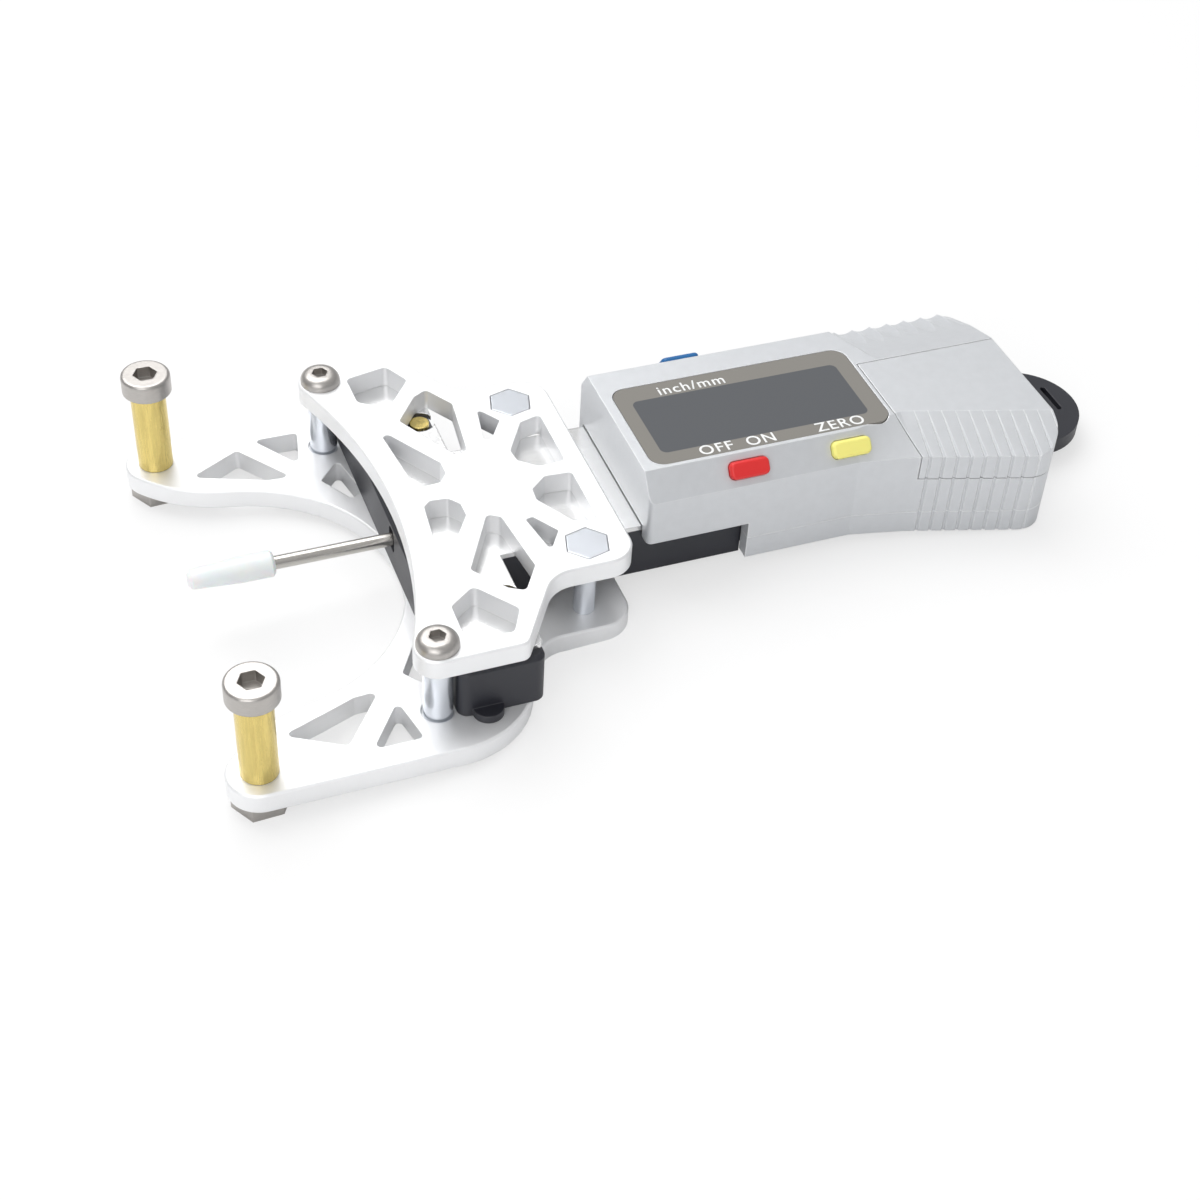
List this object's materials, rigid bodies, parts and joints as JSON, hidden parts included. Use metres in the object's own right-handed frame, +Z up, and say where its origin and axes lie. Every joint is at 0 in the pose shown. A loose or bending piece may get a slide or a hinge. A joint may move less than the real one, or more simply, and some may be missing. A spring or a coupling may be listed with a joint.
{
  "type": "belt tension gauge",
  "caption": "Hand gauge that measures how far a drive belt bends between two brass rollers, with a sliding digital display on a milled plate frame.",
  "frame": {"origin": "middle of the line between the two roller axes, at the height of the lower plate's underside", "axes": "+X from the rollers to the tail along the measuring rod's direction, +Y to the far roller, +Z up, out of the display"},
  "size_m": [0.1389, 0.0732, 0.0233],
  "materials": {
    "plate": "bead blasted",
    "stainless": "satin",
    "zinc": "zinc plated",
    "brass": "drawn",
    "black_plastic": "satin",
    "silver_plastic": "silver lacquer",
    "window": "clear window with a printed border",
    "lcd": "polished",
    "board": "fibreglass",
    "contact_rubber": "matte",
    "switch": "matte",
    "blue": "satin",
    "red": "satin",
    "yellow": "satin",
    "spring_steel": "polished",
    "tip": "soft, slightly see-through"
  },
  "bodies": {
    "frame": {"lower_plate": "plate", "upper_plate": "plate", "gauge_foot": "black_plastic", "steel_plate": "stainless", "scale_board": "board", "roller_screw_far": "stainless", "roller_nut_far": "stainless", "front_spacer_far": "zinc", "front_screw_far": "stainless", "rear_bolt_far": "zinc", "foot_screw_far": "brass", "roller_screw_near": "stainless", "roller_nut_near": "stainless", "front_spacer_near": "zinc", "front_screw_near": "stainless", "rear_bolt_near": "zinc", "foot_screw_near": "brass"},
    "roller_far": {"roller_sleeve_far": "brass"},
    "roller_near": {"roller_sleeve_near": "brass"},
    "units_button": {"button_units": "blue"},
    "power_button": {"button_power": "red"},
    "zero_button": {"button_zero": "yellow"},
    "cover": {"battery_cover": "silver_plastic"},
    "display": {"display_housing": "silver_plastic", "housing_back": "silver_plastic", "display_lens": "window", "lcd_panel": "lcd", "circuit_board": "board", "contact_lower": "spring_steel", "contact_side": "spring_steel", "battery": "stainless", "gib_spring": "spring_steel", "measuring_rod": "stainless", "rod_clamp_screw": "stainless", "rod_tip": "tip", "switch_units": "switch", "switch_power": "switch", "switch_zero": "switch", "housing_screw_far": "stainless", "lcd_connector_far": "contact_rubber", "housing_screw_near": "stainless", "lcd_connector_near": "contact_rubber"}
  },
  "joints": [
    {"name": "display_slide", "type": "slide", "parent": "frame", "child": "display", "axis": [1, 0, 0], "range_m": [-0.0005, 0.0164]},
    {"name": "roller_far_spin", "type": "hinge", "parent": "frame", "child": "roller_far", "pos_m": [0, 0.0322, 0.00985], "axis": [0, 0, 1], "continuous": true},
    {"name": "roller_near_spin", "type": "hinge", "parent": "frame", "child": "roller_near", "pos_m": [0, -0.0322, 0.00985], "axis": [0, 0, 1], "continuous": true},
    {"name": "units_press", "type": "slide", "parent": "display", "child": "units_button", "axis": [0, -0.8051, -0.5932], "range_m": [0, 0.0005], "stiffness_N_per_m": 400, "springref_m": -0.001},
    {"name": "power_press", "type": "slide", "parent": "display", "child": "power_button", "axis": [0, 0.8051, -0.5932], "range_m": [0, 0.0005], "stiffness_N_per_m": 400, "springref_m": -0.001},
    {"name": "zero_press", "type": "slide", "parent": "display", "child": "zero_button", "axis": [0, 0.8051, -0.5932], "range_m": [0, 0.0005], "stiffness_N_per_m": 400, "springref_m": -0.001},
    {"name": "cover_slide", "type": "slide", "parent": "display", "child": "cover", "axis": [1, 0, 0], "range_m": [0, 0.024]}
  ]
}
